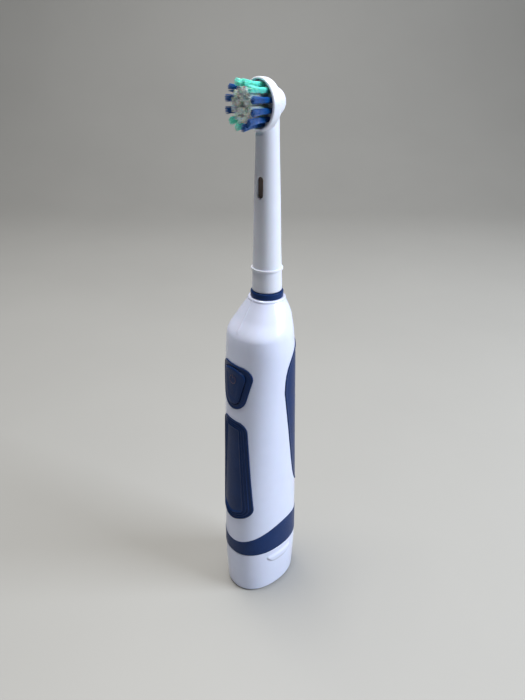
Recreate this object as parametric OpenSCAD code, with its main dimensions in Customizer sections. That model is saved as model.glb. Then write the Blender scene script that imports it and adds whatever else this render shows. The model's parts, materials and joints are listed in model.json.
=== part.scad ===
// Battery toothbrush with an oscillating round brush head.
// Row frame: origin at the centre of the flat base, +Z up, bristles and button face -Y.

/* [Handle form] */
// Height of the handle up to the collar ring
handle_h = 149.2; // [142:0.2:165]
// Front of the base, from the centre line
base_front = 17.6; // [16:0.1:24]
// Back of the base, from the centre line
base_back = 16.9; // [15.8:0.1:24]
// Half width of the base
base_half = 12.9; // [12:0.1:18]
// Height of the deepest part of the handle
belly_z = 20; // [16:0.5:26]
// Front of the deepest part
belly_front = 18.1; // [17.2:0.1:24]
// Back of the deepest part
belly_back = 17.85; // [17:0.1:24]
// Half width of the deepest part
belly_half = 13.4; // [12.6:0.1:18]
// Height of the grip station
grip_z = 45; // [38:0.5:52]
// Front of the grip station
grip_front = 17.6; // [17:0.1:24]
// Back of the grip station
grip_back = 17.4; // [16.8:0.1:24]
// Half width of the grip station
grip_half = 13.4; // [12.6:0.1:18]
// Height of the waist station
waist_z = 80; // [74:0.5:88]
// Front of the waist station
waist_front = 16; // [15.4:0.1:24]
// Back of the waist station
waist_back = 15.8; // [15.4:0.1:24]
// Half width of the waist station
waist_half = 13.5; // [12.4:0.1:18]
// Height of the thumb station
thumb_z = 105; // [98:0.5:110]
// Front of the thumb station
thumb_front = 14.8; // [14.2:0.1:22]
// Back of the thumb station
thumb_back = 14.6; // [14.4:0.1:22]
// Half width of the thumb station
thumb_half = 13.7; // [12.6:0.1:18]
// Height of the top of the straight body
crown_z = 128; // [120:0.5:131]
// Front of the top of the straight body
crown_front = 13.2; // [12.6:0.1:20]
// Back of the top of the straight body
crown_back = 13.2; // [12.6:0.1:20]
// Half width of the top of the straight body
crown_half = 14.1; // [12.8:0.1:18]
// Radius of the handle where it meets the collar ring
collar_r = 6.7; // [6.5:0.1:8]
// Distance of the drive axis behind the centre line
axis_y = 3.4; // [2.6:0.1:3.8]
// Roundness of the oval: 2 is an ellipse, more is squarer
oval_power = 2.2; // [2:0.1:2.8]
// Wall of the handle shell and of the battery cap
wall = 1.6; // [1.2:0.1:1.9]
// Radius of the edge round the flat base
base_edge = 1.0; // [0.4:0.1:1.6]

/* [Soft pads] */
// How far the soft pads stand out of the shell
pad_proud = 0.35; // [0.2:0.05:0.8]
// How deep the soft pads sit in the shell
pad_depth = 0.7; // [0.4:0.05:0.9]
// Lower edge of the soft band, which is also the top of the battery cap
band_low = 24.8; // [22:0.2:28]
// Upper edge of the soft band at the front
band_front = 32; // [30:0.2:36]
// Upper edge of the soft band at the sides
band_side = 40.5; // [36:0.2:42]
// Lower end of the front grip pad
grip_low = 45.6; // [44:0.1:50]
// Upper end of the front grip pad
grip_high = 98.8; // [90:0.1:100.5]
// Half width of the front grip pad at its lower end
grip_low_half = 10; // [7:0.1:10.4]
// Half width of the front grip pad at its upper end
grip_high_half = 7.6; // [5:0.1:9]
// Lower tip of the rear grip pad
rear_low = 52; // [50:0.5:60]
// Upper tip of the rear grip pad
rear_high = 133.5; // [126:0.5:135]
// Height at which the rear grip pad is widest
rear_wide_z = 111; // [104:0.5:118]
// Distance behind the centre line of the edge of the rear grip pad where it is widest
rear_wide_y = 1.3; // [0.4:0.1:6]

/* [Power button] */
// Height of the button's centre and of its switch
button_z = 117.6; // [116:0.2:118.4]
// Height of the widest part of the button pad
pad_wide_z = 120; // [118:0.2:120.6]
// Half width of the button pad
pad_half = 9.0; // [8.4:0.1:9.6]
// Upper end of the button pad
pad_top = 124.2; // [123.6:0.1:126]
// Lower end of the button pad
pad_low = 104.2; // [102:0.1:106]
// Half width of the button
button_half = 6.3; // [5:0.1:6.7]
// Upper end of the button
button_top = 122.7; // [121:0.1:122.9]
// Lower end of the button
button_low = 106.5; // [106:0.1:109]
// How far the button travels when pressed
button_travel = 0.8; // [0.5:0.05:1]
// Gap round the button
button_gap = 0.25; // [0.15:0.05:0.4]

/* [Batteries] */
// Radius of one AA cell
cell_r = 7.1; // [6.8:0.05:7.15]
// Length of one AA cell with its nub
cell_l = 50.5; // [49.5:0.1:50.5]
// Height of the lower end of the cells
cell_z = 14; // [12:0.5:15]

/* [Drive] */
// Radius of the motor can
motor_r = 9.2; // [8.6:0.1:9.3]
// Half distance between the flats of the motor can
motor_flat = 7.6; // [7:0.1:7.9]
// Length of the motor can
motor_l = 22; // [20:0.5:24]
// Module of the gear teeth
gear_module = 0.4; // [0.38:0.005:0.42]
// Teeth of the motor pinion
pinion_teeth = 12; // [12:1:13]
// Teeth of the crank gear
crank_teeth = 20; // [19:1:20]
// Distance of the crank pin from its gear's axis
crank_throw = 2.6; // [2:0.1:2.7]
// Radius of the drive shaft
shaft_r = 1.5; // [1.2:0.05:1.6]
// Distance of the drive shaft's flat from its axis
shaft_flat = 1.1; // [0.9:0.05:1.15]
// How far the drive shaft stands out above the handle
shaft_out = 26.8; // [22:0.2:30]
// Radial gap between a turning part and its bearing
running_gap = 0.04; // [0.02:0.01:0.06]

/* [Brush head] */
// Length of the brush head above the handle
refill_l = 75.8; // [71:0.2:85]
// Radius of the lower end of the neck
sleeve_r = 5.8; // [5.7:0.05:6.4]
// Radius of the upper end of the neck
neck_top_r = 4.1; // [3.9:0.05:4.6]
// Radius of the head's rim
rim_r = 8.2; // [8:0.05:9]
// Distance of the rim's face in front of the drive axis
rim_y = 4.4; // [3.4:0.05:4.8]
// Radius of the round back of the head
boss_r = 4.9; // [4.4:0.05:5.2]
// Wall of the rim
rim_wall = 0.85; // [0.7:0.05:1]
// Gap between the brush disc and the rim
disc_gap = 0.25; // [0.15:0.05:0.4]
// Length of the outer bristles in front of the disc
bristle_l = 9.3; // [7.5:0.1:10]
// Radius of one tuft
tuft_r = 0.85; // [0.6:0.05:0.9]

/* [Hidden] */

white = [0.93, 0.94, 0.98];
navy = [0.12, 0.19, 0.38];
steel = [0.75, 0.76, 0.78];
brass = [0.80, 0.66, 0.34];
grey = [0.55, 0.57, 0.60];

round_fn = 64;
SIDES = 44;
eps = 0.01;
far = 60;

total_h = handle_h + refill_l;
shaft_top = handle_h + shaft_out;

// Shoulder stations follow the top of the straight body and the collar.
shoulder_z = crown_z + (handle_h - crown_z) / 3;
slope_z = crown_z + (handle_h - crown_z) * 2 / 3;

// Each station: height, front, back, half width.
STATIONS = [
    [0, -base_front, base_back, base_half],
    [belly_z, -belly_front, belly_back, belly_half],
    [grip_z, -grip_front, grip_back, grip_half],
    [waist_z, -waist_front, waist_back, waist_half],
    [thumb_z, -thumb_front, thumb_back, thumb_half],
    [crown_z, -crown_front, crown_back, crown_half],
    [shoulder_z, -crown_front + 0.7, crown_back - 0.6, crown_half - 0.5],
    [slope_z, axis_y - collar_r - 4.8, axis_y + collar_r + 2.2, collar_r + 4.1],
    [handle_h, axis_y - collar_r, axis_y + collar_r, collar_r]];

// Smooth curve through the stations that never overshoots them.
function secant(k, c) = (STATIONS[k + 1][c] - STATIONS[k][c]) / (STATIONS[k + 1][0] - STATIONS[k][0]);
function blend_slope(a, b) = a * b <= 0 ? 0 : 2 * a * b / (a + b);
function slope(k, c) =
    k == 0 ? secant(0, c)
    : k == len(STATIONS) - 1 ? secant(k - 1, c)
    : blend_slope(secant(k - 1, c), secant(k, c));
function span_of(z, k = 0) = k >= len(STATIONS) - 2 || z < STATIONS[k + 1][0] ? k : span_of(z, k + 1);
function hermite(k, c, h, t) =
    STATIONS[k][c] * (2 * t * t * t - 3 * t * t + 1) + slope(k, c) * h * (t * t * t - 2 * t * t + t)
    + STATIONS[k + 1][c] * (3 * t * t - 2 * t * t * t) + slope(k + 1, c) * h * (t * t * t - t * t);
function form_at(z, c) =
    let (k = span_of(z), h = STATIONS[k + 1][0] - STATIONS[k][0])
    hermite(k, c, h, (z - STATIONS[k][0]) / h);
function oval(v) = sign(v) * pow(abs(v), 2 / oval_power);

// One ring of the handle's surface, moved outwards by grow.
function ring(z, grow) =
    let (front = form_at(z, 1) - grow, back = form_at(z, 2) + grow, half = form_at(z, 3) + grow)
    [for (k = [0:SIDES - 1]) let (a = 360 * k / SIDES)
        [half * oval(cos(a)), (front + back) / 2 + (back - front) / 2 * oval(sin(a)), z]];

// Closed solid through rings of equal length.
module loft(rings) {
    n = len(rings[0]);
    m = len(rings);
    points = [for (r = rings) each r];
    sides = [for (j = [0:m - 2]) for (k = [0:n - 1])
        [j * n + k, j * n + (k + 1) % n, (j + 1) * n + (k + 1) % n, (j + 1) * n + k]];
    polyhedron(points, concat([for (f = sides) [f[3], f[2], f[1], f[0]]],
        [[for (k = [0:n - 1]) k]], [[for (k = [n - 1:-1:0]) (m - 1) * n + k]]), convexity = 4);
}

// The handle's outer form between two heights, moved outwards by grow.
module form(z0, z1, grow, step = 9) {
    count = max(1, round((z1 - z0) / step));
    loft([for (j = [0:count]) ring(z0 + (z1 - z0) * j / count, grow)]);
}

// Straight body and shoulder together, with closer rings on the shoulder.
module body_form(grow, z0, z1) {
    lower = max(2, round((crown_z - z0) / 9));
    upper = 9;
    loft(concat([for (j = [0:lower - 1]) ring(z0 + (crown_z - z0) * j / lower, grow)],
        [for (j = [0:upper]) ring(crown_z + (z1 - crown_z) * j / upper, grow)]));
}

// Makes one plain mesh of everything inside it.
module as_mesh() {
    resize([0, 0, 0]) children();
}

// Height of the band's upper edge at a distance from the centre line.
band_peak_y = 5;
function band_top(y) =
    y < band_peak_y
    ? band_front + (band_side - band_front) * (1 - pow((band_peak_y - y) / (belly_front + band_peak_y), 1.6))
    : band_side - 2.5 * pow((y - band_peak_y) / (belly_back - band_peak_y), 2);

// Region below the band's upper edge, across the whole handle.
module below_band_top() {
    rotate([90, 0, 90]) translate([0, 0, -far / 2]) linear_extrude(far)
        polygon(concat([[-far / 2, -5]], [[-far / 2, band_top(-belly_front - 1)]],
            [for (y = [-belly_front - 1:2:belly_back + 1]) [y, band_top(y)]],
            [[far / 2, band_top(belly_back + 1)], [far / 2, -5]]));
}

// Edge of the rear grip seen from the side.
function rear_edge(z) =
    z > rear_wide_z
    ? rear_wide_y + (crown_back + 1 - rear_wide_y) * pow((z - rear_wide_z) / (rear_high - rear_wide_z), 3.2)
    : rear_wide_y + (grip_back + 1 - rear_wide_y)
        * (0.55 * (rear_wide_z - z) / (rear_wide_z - rear_low)
        + 0.45 * pow((rear_wide_z - z) / (rear_wide_z - rear_low), 10));
module rear_region() {
    steps = 22;
    rotate([90, 0, 90]) translate([0, 0, -far / 2]) linear_extrude(far)
        polygon(concat([for (j = [0:steps]) let (z = rear_low + (rear_high - rear_low) * j / steps)
            [rear_edge(z), z]], [[far / 2, rear_high], [far / 2, rear_low]]));
}

// Shield outline seen from the front: wide and flat above, round below.
module shield(half, top, low, wide_z, corner, foot, grow) {
    crown = 12;
    crown_half = half * 0.4;
    hull() {
        for (s = [-1, 1]) translate([s * (half - corner), wide_z]) circle(corner + grow, $fn = 32);
        translate([0, top - crown]) intersection() {
            circle(crown + grow, $fn = 72);
            translate([-crown_half, 0]) square([2 * crown_half, 20]);
        }
        translate([0, low + foot]) circle(foot + grow, $fn = 48);
    }
}

module pad_outline() {
    shield(pad_half, pad_top, pad_low, pad_wide_z, 4.3, 7, 0);
}

module button_outline(grow) {
    shield(button_half, button_top, button_low, pad_wide_z - 0.5, 2.5, 4.1, grow);
}

// Outline of the front grip pad, wider at its lower end.
module grip_outline(inset) {
    top_corner = 4.2;
    low_corner = 6.5;
    hull() {
        for (s = [-1, 1]) {
            translate([s * (grip_high_half - top_corner), grip_high - top_corner])
                circle(top_corner - inset, $fn = 32);
            translate([s * (grip_low_half - low_corner), grip_low + low_corner + 1.4])
                circle(low_corner - inset, $fn = 32);
        }
        translate([0, grip_high - 7]) circle(7 - inset, $fn = 40);
        translate([0, grip_low + 8]) circle(8 - inset, $fn = 40);
    }
}

// Front region behind an outline, straight through the front wall.
module front_prism() {
    rotate([90, 0, 0]) linear_extrude(far) children();
}

// A layer of the handle's surface between two depths.
module skin(z0, z1, outer, inner, step) {
    difference() {
        form(z0, z1, outer, step);
        form(z0 - 1, z1 + 1, -inner, step);
    }
}

// Handle -------------------------------------------------------------------

shell_top = handle_h - wall;
spigot_r = 4.6;
stem_gap = 0.1;

module housing() {
    color(white) as_mesh() difference() {
        body_form(0, band_low, handle_h);
        body_form(-wall, band_low - 1, shell_top);
        translate([0, axis_y, handle_h - 5]) cylinder(h = 10, r = spigot_r + stem_gap, $fn = 48);
        intersection() {
            skin(band_low - 1, band_side + 1, 2, pad_depth, 6);
            below_band_top();
        }
        intersection() {
            skin(grip_low - 1, grip_high + 1, 2, pad_depth, 9);
            front_prism() grip_outline(0);
        }
        intersection() {
            skin(rear_low - 1, rear_high, 2, pad_depth, 9);
            rear_region();
        }
        intersection() {
            skin(pad_low - 1, pad_top + 1, 2, pad_depth, 6);
            front_prism() pad_outline();
        }
        front_prism() button_outline(button_gap);
    }
}

module collar_ring() {
    ring_h = 2.4;
    color(navy) translate([0, axis_y, handle_h]) difference() {
        cylinder(h = ring_h, r = collar_r - 0.3, $fn = round_fn);
        translate([0, 0, -1]) cylinder(h = ring_h + 2, r = spigot_r, $fn = round_fn);
    }
}

spigot_top = handle_h + 13.8;
bush_r = 3.0;
bush_h = 5;
seal_h = 2;
shaft_hole = shaft_r + 0.9;
upper_bush_z = handle_h + 3;
spigot_low = shell_top - 7.5;

module neck_spigot() {
    color(white) translate([0, axis_y, 0]) difference() {
        union() {
            translate([0, 0, spigot_low]) cylinder(h = spigot_top - spigot_low, r = spigot_r, $fn = round_fn);
            translate([0, 0, spigot_low]) cylinder(h = 2, r = 5.4, $fn = round_fn);
        }
        translate([0, 0, spigot_low - 1]) cylinder(h = far, r = shaft_hole, $fn = round_fn);
        translate([0, 0, upper_bush_z]) cylinder(h = bush_h, r = bush_r, $fn = round_fn);
        translate([0, 0, spigot_top - seal_h]) cylinder(h = seal_h + 1, r = bush_r, $fn = round_fn);
    }
}

module bush(z, h) {
    translate([0, axis_y, z]) difference() {
        cylinder(h = h, r = bush_r, $fn = round_fn);
        translate([0, 0, -1]) cylinder(h = h + 2, r = shaft_r + running_gap, $fn = round_fn);
    }
}

module upper_bush() {
    color(brass) bush(upper_bush_z, bush_h);
}

module shaft_seal() {
    color([0.15, 0.15, 0.16]) bush(spigot_top - seal_h, seal_h);
}

module button_surround() {
    color(navy) as_mesh() difference() {
        intersection() {
            skin(pad_low - 1, pad_top + 1, pad_proud, pad_depth, 6);
            front_prism() pad_outline();
        }
        front_prism() button_outline(button_gap);
    }
}

module front_grip() {
    color(navy) as_mesh() intersection() {
        skin(grip_low - 1, grip_high + 1, pad_proud, pad_depth, 9);
        front_prism() grip_outline(0);
    }
}

module rear_grip() {
    color(navy) as_mesh() intersection() {
        skin(rear_low - 1, rear_high, pad_proud, pad_depth, 9);
        rear_region();
    }
}

module lower_band() {
    color(navy) as_mesh() intersection() {
        skin(band_low, band_side + 1, pad_proud * 0.5, pad_depth, 6);
        below_band_top();
    }
}

// Inner frame --------------------------------------------------------------

cell_top = cell_z + cell_l;
contact_t = 0.5;
shelf_z = cell_top + 1.5;
shelf_t = 2;
end_cap_h = 3;
end_cap_z = shelf_z + shelf_t + 1;
can_z = end_cap_z + end_cap_h;
can_top = can_z + motor_l;
mount_z = can_top;
mount_t = 2.5;
gear_gap = 0.6;
gear_z = mount_z + mount_t + gear_gap;
gear_h = 3.2;
crank_top = gear_z + gear_h + 2.6;
fork_z = crank_top + 0.3;
fork_h = 2.4;
plate_z = fork_z + fork_h + 1;
plate_t = 2.6;
rail_x = motor_flat + 0.5;
rail_t = 1.9;
rail_half = 3;
motor_shaft_r = 1.0;
boss_r_motor = 3;
boss_h = 1.4;
axle_r = 0.75;
centre_distance = gear_module * (pinion_teeth + crank_teeth) / 2;
crank_y = axis_y - centre_distance;
mount_front = crank_y - 3;
arm_t = 1;
fit_gap = 0.1;
touch_gap = 0.05;
screw_r = 0.8;
screw_y = 1.6;

module chassis() {
    color(grey) difference() {
        union() {
            translate([0, 0, shelf_z]) linear_extrude(shelf_t)
                polygon([for (p = ring(shelf_z + shelf_t, -wall - fit_gap)) [p[0], p[1]]]);
            for (s = [-1, 1]) translate([s * (rail_x + rail_t / 2) - rail_t / 2, axis_y - rail_half, shelf_z])
                cube([rail_t, 2 * rail_half, plate_z - shelf_z]);
            translate([-rail_x - rail_t / 2, mount_front, mount_z])
                cube([2 * rail_x + rail_t, axis_y + boss_r_motor + 1.6 - mount_front, mount_t]);
            for (s = [-1, 1]) translate([s * (board_half - arm_t / 2) - arm_t / 2, board_y + board_t, mount_z])
                cube([arm_t, mount_front + 1 - board_y - board_t, fork_z - 0.7 - mount_z]);
        }
        translate([0, axis_y, mount_z - 1]) cylinder(h = mount_t + 2, r = boss_r_motor, $fn = round_fn);
        translate([0, crank_y, mount_z - 1]) cylinder(h = mount_t + 2, r = axle_r, $fn = round_fn);
        for (s = [-1, 1]) translate([s * (rail_x + rail_t / 2), axis_y + s * screw_y, plate_z - 4])
            cylinder(h = 5, r = screw_r, $fn = 32);
        for (s = [-1, 1]) translate([-lead_w / 2 - 0.2, s * lead_y - lead_t, shelf_z - 1])
            cube([lead_w + 0.4, 2 * lead_t, shelf_t + 2]);
    }
}

module gearbox_plate() {
    color(grey) difference() {
        translate([-rail_x - rail_t, axis_y - rail_half, plate_z])
            cube([2 * (rail_x + rail_t), 2 * rail_half, plate_t]);
        translate([0, axis_y, plate_z - 1]) cylinder(h = plate_t + 2, r = bush_r - 0.4, $fn = round_fn);
        for (s = [-1, 1]) translate([s * (rail_x + rail_t / 2), axis_y + s * screw_y, plate_z - 1])
            cylinder(h = plate_t + 2, r = screw_r, $fn = 32);
    }
}

module gearbox_screws() {
    color(steel) for (s = [-1, 1]) translate([s * (rail_x + rail_t / 2), axis_y + s * screw_y, 0]) {
        translate([0, 0, plate_z - 3.9]) cylinder(h = plate_t + 3.9, r = screw_r, $fn = 32);
        translate([0, 0, plate_z + plate_t]) difference() {
            cylinder(h = 0.8, r = 1.3, $fn = 32);
            translate([-0.2, -2, 0.4]) cube([0.4, 4, 1]);
        }
    }
}

module lower_bush() {
    color(brass) translate([0, axis_y, plate_z]) difference() {
        union() {
            cylinder(h = plate_t, r = bush_r - 0.4, $fn = round_fn);
            translate([0, 0, plate_t]) cylinder(h = 0.7, r = bush_r + 0.3, $fn = round_fn);
        }
        translate([0, 0, -1]) cylinder(h = plate_t + 3, r = shaft_r + running_gap, $fn = round_fn);
    }
}

can_t = 0.6;

// Round bar with two flats, the section of the motor.
module flatted(r, flat, h) {
    intersection() {
        cylinder(h = h, r = r, $fn = round_fn);
        translate([-flat, -r - 1, -1]) cube([2 * flat, 2 * r + 2, h + 2]);
    }
}

module motor_can() {
    color(steel) translate([0, axis_y, can_z]) difference() {
        union() {
            flatted(motor_r, motor_flat, motor_l);
            translate([0, 0, motor_l - eps]) cylinder(h = boss_h + eps, r = boss_r_motor, $fn = round_fn);
        }
        translate([0, 0, -1]) flatted(motor_r - can_t, motor_flat - can_t, motor_l + 1 - can_t);
        cylinder(h = motor_l + 5, r = motor_shaft_r + running_gap, $fn = round_fn);
    }
}

magnet_t = 1.5;
magnet_in = motor_r - can_t - magnet_t;
magnet_z = 4;

module motor_magnets() {
    color([0.2, 0.2, 0.22]) translate([0, axis_y, can_z + magnet_z]) for (s = [-1, 1]) intersection() {
        difference() {
            cylinder(h = motor_l - 7, r = motor_r - can_t, $fn = round_fn);
            translate([0, 0, -1]) cylinder(h = motor_l, r = magnet_in, $fn = round_fn);
        }
        translate([-5.5, s > 0 ? 0 : -20, -1]) cube([11, 20, motor_l]);
    }
}

module motor_end_cap() {
    color([0.9, 0.9, 0.86]) translate([0, axis_y, end_cap_z]) difference() {
        flatted(motor_r, motor_flat, end_cap_h);
        translate([0, 0, -1]) cylinder(h = end_cap_h + 2, r = motor_shaft_r + running_gap, $fn = round_fn);
    }
}

module gear_axle() {
    color(steel) translate([0, crank_y, mount_z])
        cylinder(h = mount_t + gear_gap + gear_h + 0.8, r = axle_r, $fn = round_fn);
}

board_y = -9.6;
board_t = 1.2;
board_half = 5.5;
board_low = pad_low - 4;
board_high = pad_top + 2;
switch_t = 1.3;
switch_half = 3;
plunger_r = 1.1;
plunger_out = button_travel + 0.2;

module circuit_board() {
    color([0.12, 0.4, 0.22]) translate([-board_half, board_y, board_low])
        cube([2 * board_half, board_t, board_high - board_low]);
}

module switch_body() {
    color([0.14, 0.14, 0.15]) difference() {
        translate([-switch_half, board_y - switch_t, button_z - switch_half])
            cube([2 * switch_half, switch_t, 2 * switch_half]);
        translate([0, board_y + eps, button_z]) rotate([90, 0, 0])
            cylinder(h = switch_t + 1, r = plunger_r + running_gap, $fn = 32);
    }
}

// Plunger of the switch: it moves with the button.
module switch_plunger() {
    color([0.9, 0.85, 0.7]) translate([0, board_y - button_travel - 0.1, button_z]) rotate([90, 0, 0])
        cylinder(h = switch_t - button_travel - 0.1 + plunger_out, r = plunger_r, $fn = 32);
}

button_back = board_y - switch_t - plunger_out;
button_proud = 0.9;
button_t = 1.3;

module power_button() {
    color(navy) union() {
        as_mesh() intersection() {
            skin(pad_low - 1, pad_top + 1, button_proud, button_t, 5);
            front_prism() button_outline(0);
        }
        translate([0, button_back, button_z]) rotate([90, 0, 0]) cylinder(h = 2, r = 1.8, $fn = 32);
    }
}

// Batteries and contacts ---------------------------------------------------

cell_y = cell_r + 0.1;
nub_r = 2.75;
nub_h = 1.2;

// One AA cell: up is 1 when its nub points up.
module cell(y, up) {
    translate([0, y, cell_z + (up > 0 ? 0 : nub_h)]) cylinder(h = cell_l - nub_h, r = cell_r, $fn = round_fn);
    translate([0, y, up > 0 ? cell_top - nub_h - eps : cell_z]) cylinder(h = nub_h + eps, r = nub_r, $fn = round_fn);
}

module battery_front() {
    color([0.78, 0.60, 0.30]) cell(-cell_y, 1);
}

module battery_rear() {
    color([0.78, 0.60, 0.30]) cell(cell_y, -1);
}

lead_y = 9.0;
lead_t = 0.4;
lead_w = 2;
tail_top = end_cap_z - lead_t;

// Bent contact above one cell, with a tail that goes up through the shelf.
module contact(y) {
    inner = cell_y - 2.5;
    outer = max(cell_y + 2.5, lead_y + lead_t / 2);
    mirror([0, y > 0 ? 0 : 1, 0]) {
        translate([-2.5, inner, cell_top]) cube([5, outer - inner, contact_t]);
        translate([-lead_w / 2, lead_y - lead_t / 2, cell_top]) cube([lead_w, lead_t, tail_top - cell_top]);
    }
}

module contact_front() {
    color(brass) contact(-cell_y);
}

module contact_rear() {
    color(brass) contact(cell_y);
}

// Flat lead from the front contact up to the circuit board.
module switch_lead() {
    color(brass) translate([-lead_w / 2, -lead_y - lead_t / 2, tail_top])
        cube([lead_w, lead_t, board_low - tail_top]);
}

// Flat lead from the circuit board down to the motor's end cap.
module motor_lead_front() {
    color(brass) translate([lead_w, -lead_y - lead_t / 2, tail_top]) {
        cube([lead_w, lead_t, board_low - tail_top]);
        cube([lead_w, lead_y - 3, lead_t]);
    }
}

// Flat lead from the rear contact to the motor's end cap.
module motor_lead_rear() {
    color(brass) translate([-lead_w / 2, axis_y + 2, tail_top])
        cube([lead_w, lead_y + lead_t / 2 - axis_y - 2, lead_t]);
}

// Rotor ---------------------------------------------------------------------

module motor_shaft() {
    low = end_cap_z - 0.5;
    color(steel) translate([0, axis_y, low])
        cylinder(h = gear_z + gear_h + 0.6 - low, r = motor_shaft_r, $fn = round_fn);
}

armature_r = min(magnet_in, motor_flat - can_t) - 0.4;
armature_h = 12;
armature_z = can_z + 5.5;

module armature() {
    color([0.72, 0.42, 0.22]) translate([0, axis_y, armature_z]) difference() {
        cylinder(h = armature_h, r = armature_r, $fn = round_fn);
        for (k = [0:2]) rotate([0, 0, 120 * k]) translate([2.6, -0.5, -1]) cube([10, 1, armature_h + 2]);
        translate([0, 0, -1]) cylinder(h = armature_h + 2, r = motor_shaft_r, $fn = round_fn);
    }
}

module commutator() {
    h = armature_z - can_z - 1;
    color(brass) translate([0, axis_y, can_z + 1]) difference() {
        cylinder(h = h, r = 2.4, $fn = round_fn);
        translate([0, 0, -1]) cylinder(h = h + 2, r = motor_shaft_r, $fn = round_fn);
    }
}

// Gears ----------------------------------------------------------------------

pressure = 20;
tooth_slack = 0.05;
addendum = 0.8;
dedendum = 1.1;
flank_steps = 3;

function involute(base, r) = let (t = sqrt(max(0, r * r / (base * base) - 1))) t * 180 / PI - atan(t);

// Half angle of one tooth at radius r.
function half_tooth(teeth, r) =
    let (pitch = gear_module * teeth / 2, base = pitch * cos(pressure))
    90 / teeth - tooth_slack * 90 / PI / pitch + involute(base, pitch) - involute(base, max(r, base));

// Outline of one spur gear, with a tooth centred on the angle turn.
module gear_outline(teeth, turn) {
    pitch = gear_module * teeth / 2;
    base = pitch * cos(pressure);
    root = pitch - dedendum * gear_module;
    tip = pitch + addendum * gear_module;
    low = max(base, root + 0.02);
    polygon([for (p = gear_polar(teeth, turn, low, root, tip)) [p[0] * cos(p[1]), p[0] * sin(p[1])]]);
}

// Radius and angle of each point of a gear's outline.
function gear_polar(teeth, turn, low, root, tip) = [for (k = [0:teeth - 1]) let (a = turn + 360 * k / teeth)
    each concat([[root, a - half_tooth(teeth, low)]],
        [for (j = [0:flank_steps]) let (r = low + (tip - low) * j / flank_steps) [r, a - half_tooth(teeth, r)]],
        [for (j = [flank_steps:-1:0]) let (r = low + (tip - low) * j / flank_steps) [r, a + half_tooth(teeth, r)]],
        [[root, a + half_tooth(teeth, low)]])];

module motor_pinion() {
    color(brass) translate([0, axis_y, gear_z]) difference() {
        linear_extrude(gear_h) gear_outline(pinion_teeth, -90);
        translate([0, 0, -1]) cylinder(h = gear_h + 2, r = motor_shaft_r, $fn = round_fn);
    }
}

crank_pin_r = 0.7;

module crank_gear() {
    color([0.92, 0.92, 0.88]) translate([0, crank_y, gear_z]) difference() {
        linear_extrude(gear_h) gear_outline(crank_teeth, 90 + 180 / crank_teeth);
        translate([0, 0, -1]) cylinder(h = gear_h + 2, r = axle_r + running_gap, $fn = round_fn);
        translate([0, crank_throw, 0.8]) cylinder(h = gear_h, r = crank_pin_r, $fn = 32);
    }
}

module crank_pin() {
    color(steel) translate([0, crank_y + crank_throw, gear_z + 0.8])
        cylinder(h = crank_top - gear_z - 0.8, r = crank_pin_r, $fn = 32);
}

// Drive shaft ------------------------------------------------------------------

shaft_low = fork_z - 0.6;

// Round bar with one flat facing the front.
module d_bar(r, flat, h) {
    intersection() {
        cylinder(h = h, r = r, $fn = round_fn);
        translate([-r - 1, -flat, -1]) cube([2 * r + 2, 2 * r + 2, h + 2]);
    }
}

module drive_shaft() {
    flat_l = shaft_top - spigot_top - 2;
    color(steel) translate([0, axis_y, 0]) union() {
        translate([0, 0, shaft_low]) cylinder(h = shaft_top - flat_l - shaft_low, r = shaft_r, $fn = round_fn);
        translate([0, 0, shaft_top - flat_l - eps]) d_bar(shaft_r, shaft_flat, flat_l + eps);
    }
}

fork_gap = 0.1;
fork_arm = 1.5;

module shaft_fork() {
    slot_half = crank_pin_r + fork_gap;
    slot_in = centre_distance - crank_throw - slot_half;
    slot_out = centre_distance + crank_throw + slot_half;
    tip = slot_out + 0.6;
    color([0.92, 0.92, 0.88]) translate([0, axis_y, fork_z]) difference() {
        union() {
            cylinder(h = fork_h, r = 3.2, $fn = round_fn);
            translate([-slot_half - fork_arm, -tip, 0]) cube([2 * (slot_half + fork_arm), tip, fork_h]);
        }
        translate([-slot_half, -tip - 1, -1]) cube([2 * slot_half, tip + 1 - slot_in, fork_h + 2]);
        translate([0, 0, -1]) cylinder(h = fork_h + 2, r = shaft_r, $fn = round_fn);
    }
}

// Brush head -------------------------------------------------------------------

head_z = total_h - rim_r;
sleeve_z = handle_h + 2.55;
sleeve_in = spigot_r + 0.1;
socket_r = 3.0;
socket_z = spigot_top + 2.2;
socket_top = shaft_top + 3;
chamber_r = 3.4;
rod_r = 1.3;
guide_r = rod_r + running_gap;
neck_bore_r = 2.4;
pin_drop = 2.6;
pin_reach = 2.1;
ball_r = 0.55;
disc_t = 1.4;
disc_back = 1.6;
cavity_back = disc_back - 0.45;
hub_r = 1.5;
hub_back = 2.2;
boss_y = 1.6;
boss_rise = 0.6;
disc_axle_r = 0.75;
axle_front = disc_back + disc_t - 0.5;
slot_z = total_h - 38.3;
slot_h = 7.6;
slot_w = 2.4;
slot_turn = 14;
ring_z = sleeve_z + 8.3;
ring_t = 0.9;

// Outer radius of the neck at a height.
NECK = [[sleeve_z, sleeve_r], [sleeve_z + 2, sleeve_r], [sleeve_z + 16, sleeve_r - 0.5],
    [sleeve_z + 34, sleeve_r - 0.95], [total_h - 25, neck_top_r + 0.2], [total_h - 17, neck_top_r]];

// Outline of the bowl behind the rim: radius and distance behind the drive axis.
bowl_y = 2;
bowl_depth = 3.6;
function bowl(t) = [rim_r * cos(t), -bowl_y + bowl_depth * sin(t)];

module drop_slot() {
    rotate([0, 0, slot_turn]) translate([0, -5, slot_z + slot_h / 2]) rotate([90, 0, 0]) hull()
        for (s = [-1, 1]) translate([0, s * (slot_h - slot_w) / 2, -3.5]) cylinder(h = 7, r = slot_w / 2, $fn = 24);
}

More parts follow.
